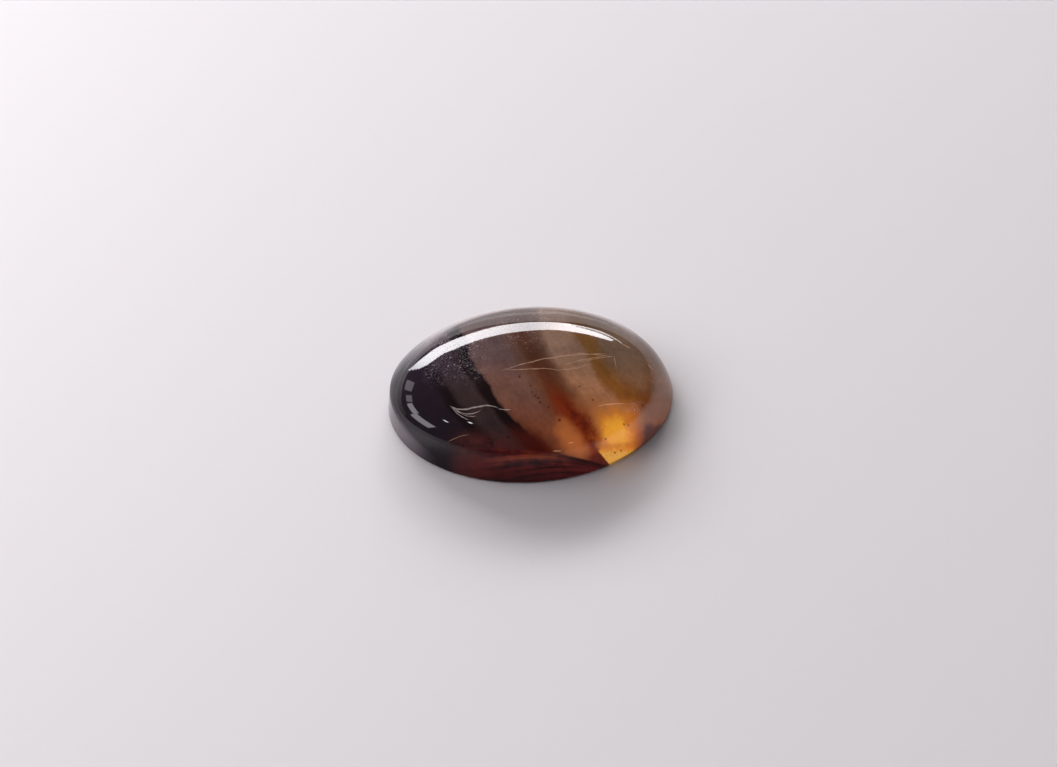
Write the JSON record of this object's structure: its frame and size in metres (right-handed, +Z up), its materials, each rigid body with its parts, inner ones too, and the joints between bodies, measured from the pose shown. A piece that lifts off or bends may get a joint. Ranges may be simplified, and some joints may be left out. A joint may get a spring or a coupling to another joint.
{
  "type": "agate cabochon",
  "caption": "Oval cabochon of dark banded agate with a flat back, a low polished dome and a wall that grows tall at one end.",
  "frame": {"origin": "middle of the flat oval back, on the surface that the stone lies on", "axes": "+X along the length, away from the dark end with the tall wall; +Y along the width, away from the amber glow's side; +Z up through the dome"},
  "size_m": [0.018, 0.013, 0.0041],
  "materials": {
    "agate": "glassy polish over black, smoky brown, rust and amber bands"
  },
  "bodies": {
    "root": {"agate_cabochon": "agate"}
  },
  "joints": []
}
